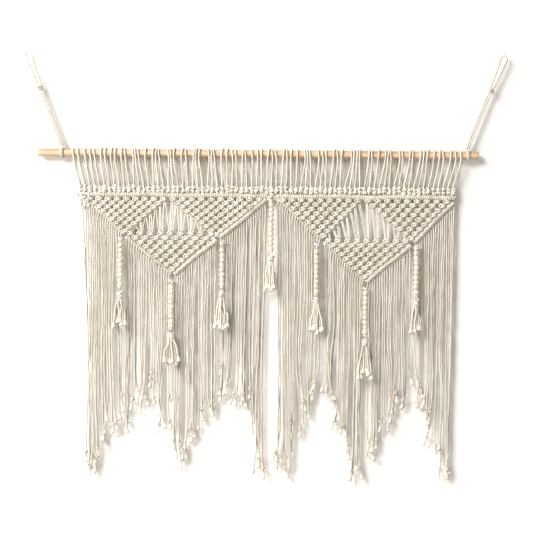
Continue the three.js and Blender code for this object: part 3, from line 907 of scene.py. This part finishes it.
def heading():
    pitch = (HEADING_RIGHT - HEADING_LEFT) / DRAPED
    knots_left, knots_right = box("knot_row_left")[0][0], box("knot_row_right")[1][0]
    knots_middle = box("knot_row_left")[1][0]
    knot_pitch = (knots_right - knots_left) / DRAPED
    places = []
    i = 0
    while i < DRAPED:
        size = min(DRAPED - i, int(rng.choice([1, 2, 2, 3, 3, 4])))
        middle = HEADING_LEFT + (i + size / 2) * pitch
        pull = rng.uniform(0.5, 0.85)
        for k in range(size):
            x = HEADING_LEFT + (i + k + 0.5) * pitch
            places.append(middle + (x - middle) * pull + rng.normal(0, 0.6 * MM))
            if i == 0 or i + size == DRAPED:
                places[-1] = x + (x - HEADING_MIDDLE) * 0.009
        i += size
    edges = [box(name)[1][0] for name in PANELS]
    panels = [Solid() for _ in PANELS]
    rows = {"left": Solid(), "right": Solid()}
    reach = DOWEL_RADIUS + CORD / 2
    middle_z = (KNOTS_TOP_Z + KNOTS_LOW_Z) / 2
    for i, x in enumerate(places):
        knot_x = knots_left + (i + 0.5) * knot_pitch
        back_x = x + rng.normal(4.8 * MM, 1.8 * MM) * rng.choice([-1, 1])
        points = [
            (knot_x - 3.0 * MM, -0.5 * MM, HEADER_Z + 2 * MM),
            (knot_x - 1.7 * MM, -1.4 * MM, KNOTS_LOW_Z + 1 * MM),
            (knot_x - 1.2 * MM, -1.9 * MM, middle_z),
            (knot_x - 1.0 * MM, -2.4 * MM, KNOTS_TOP_Z + 1 * MM),
            (knot_x + (x - knot_x) * 0.45, -7 * MM + rng.normal(0, 0.5 * MM), KNOTS_TOP_Z + 32 * MM),
        ]
        for step in range(9):
            angle = math.radians(-14 + step * 26)
            place_x = x + (back_x - x) * step / 8
            points.append(
                (place_x, -reach * math.cos(angle), DOWEL_Z + reach * math.sin(angle))
            )
        points += [
            (knot_x + (back_x - knot_x) * 0.45, 7 * MM, KNOTS_TOP_Z + 32 * MM),
            (knot_x + 1.0 * MM, 2.4 * MM, KNOTS_TOP_Z + 1 * MM),
            (knot_x + 1.2 * MM, 1.9 * MM, middle_z),
            (knot_x + 1.7 * MM, 1.4 * MM, KNOTS_LOW_Z + 1 * MM),
            (knot_x + 3.0 * MM, 0.5 * MM, HEADER_Z + 2 * MM),
        ]
        panel = min(3, int(np.searchsorted(edges, x)))
        add_cord(panels[panel], points, CORD)
        row = rows["left" if knot_x < knots_middle else "right"]
        drop = rng.normal(0, 0.9)
        for shift in (4.3, -3.4):
            at = (knot_x + rng.normal(0, 0.8 * MM), -1 * MM, middle_z + (shift + drop) * MM)
            lean = (rng.normal(0, 0.35), 0, 1)
            small_knot(row, at, lean, rng.uniform(7.5, 10) * MM, 5.3 * MM, rng.uniform(3.7, 4.6) * MM)
    for name, solid in zip(PANELS, panels):
        piece = solid.build(f"{name}_strands", COTTON)
        place(piece, PANEL, "cotton_cord", name)
    for side, solid in rows.items():
        piece = solid.build(f"knot_row_{side}_knots", COTTON)
        place(piece, PANEL, "cotton_cord", f"knot_row_{side}")


heading()


def centre_joint():
    """Two square knots under each other that tie the halves together."""
    low, high = box("centre_knot")
    middle = (low + high) / 2
    solid = Solid()
    strands = [
        [middle + np.array([(k - 1.5) * 3.4 * MM, 0, high[2] - middle[2]])] for k in range(4)
    ]
    for share in (0.25, 0.75):
        z = high[2] - share * (high[2] - low[2])
        tie_knot(strands, np.array([middle[0], 0, z]), 0.0, 1.1)
    for k, strand in enumerate(strands):
        strand.append(middle + np.array([(k - 1.5) * 4.6 * MM, 0, low[2] - middle[2] - 4 * MM]))
        add_cord(solid, strand, KNOT_CORD, step=2.0 * MM)
    over = RIDGES["ridge_left_inner"][1], HEADER["right"][0]
    under = RIDGES["ridge_right_inner"][0], HEADER["left"][1]
    for (start, end), y in ((over, -6.5 * MM), (under, -3.5 * MM)):
        halfway = (start + end) / 2 + np.array([0, y, 0])
        for shift in (-2.2 * MM, 2.2 * MM):
            lift = np.array([0, 0, shift])
            add_cord(solid, [start + lift, halfway + lift, end + lift], KNOT_CORD, step=2.0 * MM)
    piece = solid.build("centre_knot_cords", COTTON)
    place(piece, PANEL, "cotton_cord", "centre_knot")


centre_joint()

# ------------------------------------------------------------------ dowel


def dowel():
    """A round rod with softened, slightly uneven ends."""
    solid = Solid()
    sides, spans = 40, 90
    ends = [(0.0, 0.62), (0.25, 0.86), (0.9, 0.96), (2.0, 1.0)]
    left, right = DOWEL_LOW[0], DOWEL_HIGH[0]
    places = [left + x * MM for x, _ in ends]
    places += list(np.linspace(left + 8 * MM, right - 8 * MM, spans))
    places += [right - x * MM for x, _ in reversed(ends)]
    sizes = [size for _, size in ends] + [1.0] * spans + [size for _, size in reversed(ends)]
    angles = np.arange(sides) / sides * TAU
    rings = []
    for x, size in zip(places, sizes):
        uneven = 1 + 0.008 * np.sin(3 * angles + x * 31) + 0.006 * math.sin(x * 17)
        ring = DOWEL_RADIUS * 0.988 * size * uneven
        rings.append(np.column_stack([
            np.full(sides, x), ring * np.cos(angles), DOWEL_Z + ring * np.sin(angles)
        ]))
    solid.tube(np.array(rings))
    piece = solid.build("dowel_rod", DOWEL_WOOD)
    place(piece, RAIL, "dowel_wood", "dowel")


dowel()

# ------------------------------------------------------------------ bead strings

def bead_rings(centre, radius, length, bore, tilt):
    """A round bead with flat, drilled ends, as one skin round its outside and bore."""
    half = length / 2
    sides = 20
    around = np.arange(sides) / sides * TAU
    profile = [(bore, -half * 0.86), (bore * 1.3, -half)]
    steep = math.radians(64)
    for step in range(11):
        angle = steep * (step / 5 - 1)
        profile.append((radius * math.cos(angle), half * math.sin(angle) / math.sin(steep)))
    profile += [(bore * 1.3, half), (bore, half * 0.86)]
    rings = []
    for size, height in profile:
        ring = np.column_stack([
            size * np.cos(around), size * np.sin(around), np.full(sides, height)
        ])
        ring[:, 0] += tilt * ring[:, 2]
        rings.append(np.asarray(centre) + ring)
    rings.append(rings[0])
    return np.array(rings)


def bead_string(k):
    body, tassel_body = f"bead_string_{k}", f"tassel_end_{k}"
    low, high = box(f"beads_{k}")
    middle = (low + high) / 2
    count = round((high[2] - low[2]) / BEAD_PITCH)
    radius = (high[0] - low[0]) / 2
    beads = Solid()
    for i in range(count):
        z = high[2] - (i + 0.5) * (high[2] - low[2]) / count
        aside = np.array([rng.normal(0, 0.35 * MM), rng.normal(0, 0.25 * MM), 0])
        size = radius * rng.uniform(0.955, 1.0)
        rings = bead_rings(
            (middle[0], middle[1], z) + aside, size, BEAD_PITCH * 0.985, 2.5 * MM,
            rng.normal(0, 0.05),
        )
        beads.tube(rings, closed_ends=False)
    piece = beads.build(f"beads_{k}_wood", BEAD_WOOD)
    place(piece, body, "bead_wood", f"beads_{k}")

    cord_low, cord_high = box(f"string_cord_{k}")
    solid = Solid()
    top = np.array([middle[0], middle[1], cord_high[2] - 5.5 * MM])
    core = path_through([top, (middle[0], middle[1], cord_low[2] + 1 * MM)], 3 * MM)
    add_cord(solid, core, 4.2 * MM, sampled=True)
    small_knot(solid, top, (0.1, 0, 1), 8.6 * MM, KNOT_CORD)
    under = np.array([middle[0], middle[1], (cord_low[2] + low[2]) / 2 + 1 * MM])
    small_knot(solid, under, (0, 0, 1), 3.6 * MM, 3.4 * MM, 3.2 * MM)
    piece = solid.build(f"string_cord_{k}_rope", COTTON)
    place(piece, body, "cotton_cord", f"string_cord_{k}")

    skirt_low, skirt_high = box(f"tassel_{k}")
    knot_z = skirt_high[2] - 10 * MM
    at = np.array([middle[0], middle[1], knot_z])
    tassel = Solid()
    small_knot(tassel, at, (0.15, 0, 1), 10.5 * MM, 5.6 * MM, 6.0 * MM)
    small_knot(tassel, at - np.array([0, 0, 4 * MM]), (-0.2, 0, 1), 10 * MM, 5.4 * MM, 5.4 * MM)
    tails = 6
    for i in range(tails):
        share = (i + 0.5) / tails - 0.5
        drop = (skirt_high[2] - 16 * MM - skirt_low[2]) * rng.uniform(0.66, 0.88)
        out = share * (skirt_high[0] - skirt_low[0]) * rng.uniform(0.75, 1.0)
        y = middle[1] + rng.uniform(-1, 1) * 2.6 * MM
        start = at + np.array([share * 5 * MM, 0, 1 * MM])
        bend = rng.normal(0, 2 * MM)
        points = [
            start,
            at + np.array([share * 10 * MM, (y - at[1]) * 0.5, -8 * MM]),
            (at[0] + out * 0.62 + bend, y, at[2] - 8 * MM - drop * 0.36),
            (at[0] + out * 0.92 - bend * 0.4, y, at[2] - 8 * MM - drop * 0.74),
            (at[0] + out, y, at[2] - 8 * MM - drop),
        ]
        path = add_cord(tassel, points, 5.7 * MM)
        frayed_end(tassel, path[-1], path[-1] - path[-4], 12 * MM, 18 * MM, 12)
    piece = tassel.build(f"tassel_{k}_cords", COTTON, LOOSE_COTTON_LIT)
    place(piece, tassel_body, "cotton_cord", f"tassel_{k}")


for k in range(1, 8):
    bead_string(k)

# ------------------------------------------------------------------ wall, floor and light


def flat(name, corners, material):
    mesh = bpy.data.meshes.new(name)
    mesh.from_pydata(corners, [], [(0, 1, 2, 3)])
    mesh.materials.append(material)
    piece = bpy.data.objects.new(name, mesh)
    bpy.context.scene.collection.objects.link(piece)
    return piece


def paint(name, dark, light, roughness, scale):
    """Matt paint with slow, faint changes of shade."""
    material, tree, shader = new_material(name)
    shader.inputs["Roughness"].default_value = roughness
    place_at = node(tree, "ShaderNodeTexCoord")
    slow = node(tree, "ShaderNodeTexNoise", Scale=scale, Detail=2.0)
    tree.links.new(place_at.outputs["Object"], slow.inputs["Vector"])
    colour = ramp(tree, slow.outputs["Fac"], [(0.3, dark), (0.7, light)])
    tree.links.new(colour, shader.inputs["Base Color"])
    return material, tree, shader


def wall_material():
    """White paint that is seen only from the room's side."""
    material, tree, shader = paint(
        "wall_paint", (0.80, 0.775, 0.74), (0.83, 0.805, 0.775), 0.9, 2.0
    )
    shader.inputs["Specular IOR Level"].default_value = 0.1
    side = node(tree, "ShaderNodeNewGeometry")
    clear = node(tree, "ShaderNodeBsdfTransparent")
    mix = node(tree, "ShaderNodeMixShader")
    output = next(n for n in tree.nodes if n.type == "OUTPUT_MATERIAL")
    tree.links.new(side.outputs["Backfacing"], mix.inputs[0])
    tree.links.new(shader.outputs["BSDF"], mix.inputs[1])
    tree.links.new(clear.outputs["BSDF"], mix.inputs[2])
    tree.links.new(mix.outputs["Shader"], output.inputs["Surface"])
    return material


wall = flat(
    "wall",
    [(x, WALL_Y, z) for x, z in ((-ROOM, FLOOR_Z), (ROOM, FLOOR_Z), (ROOM, 3), (-ROOM, 3))],
    wall_material(),
)
flat(
    "floor",
    [(x, y, FLOOR_Z) for x, y in ((-ROOM, -ROOM), (ROOM, -ROOM), (ROOM, ROOM), (-ROOM, ROOM))],
    paint("floor_paint", (0.78, 0.77, 0.76), (0.81, 0.80, 0.79), 0.85, 3.0)[0],
)


def area_light(name, location, target, size, energy, colour):
    data = bpy.data.lights.new(name, "AREA")
    data.shape = "SQUARE"
    data.size = size
    data.energy = energy
    data.color = colour
    lamp = bpy.data.objects.new(name, data)
    lamp.location = location
    lamp.rotation_euler = (Vector(target) - Vector(location)).to_track_quat("-Z", "Y").to_euler()
    bpy.context.scene.collection.objects.link(lamp)
    return lamp


area_light("key", (-3.5, -3.7, 2.4), (0, 0, -0.5), 3.0, 610, (1.0, 0.985, 0.965))
area_light("fill", (1.8, -2.4, -0.2), (0, 0, -0.6), 1.8, 5, (0.95, 0.97, 1.0))
back = area_light("back", (0.3, 4.0, 0.6), (0, 0, -0.5), 1.5, 30, (1.0, 1.0, 1.0))
clear_of_wall = bpy.data.collections.new("clear_of_wall")
clear_of_wall.objects.link(wall)
clear_of_wall.collection_objects[0].light_linking.link_state = "EXCLUDE"
back.light_linking.blocker_collection = clear_of_wall


def add_world():
    """A faint sky light, and a pale grey behind everything that the camera sees."""
    world = bpy.data.worlds.new("world")
    world.use_nodes = True
    tree = world.node_tree
    sky = next(n for n in tree.nodes if n.type == "BACKGROUND")
    sky.inputs["Color"].default_value = (0.85, 0.90, 1.0, 1)
    sky.inputs["Strength"].default_value = 0.085
    seen = node(tree, "ShaderNodeBackground", Color=(0.86, 0.87, 0.88, 1))
    rays = node(tree, "ShaderNodeLightPath")
    choose = node(tree, "ShaderNodeMixShader")
    surface = next(n for n in tree.nodes if n.type == "OUTPUT_WORLD")
    tree.links.new(rays.outputs["Is Camera Ray"], choose.inputs[0])
    tree.links.new(sky.outputs["Background"], choose.inputs[1])
    tree.links.new(seen.outputs["Background"], choose.inputs[2])
    tree.links.new(choose.outputs["Shader"], surface.inputs["Surface"])
    bpy.context.scene.world = world


add_world()
bpy.context.scene.view_settings.view_transform = "Standard"
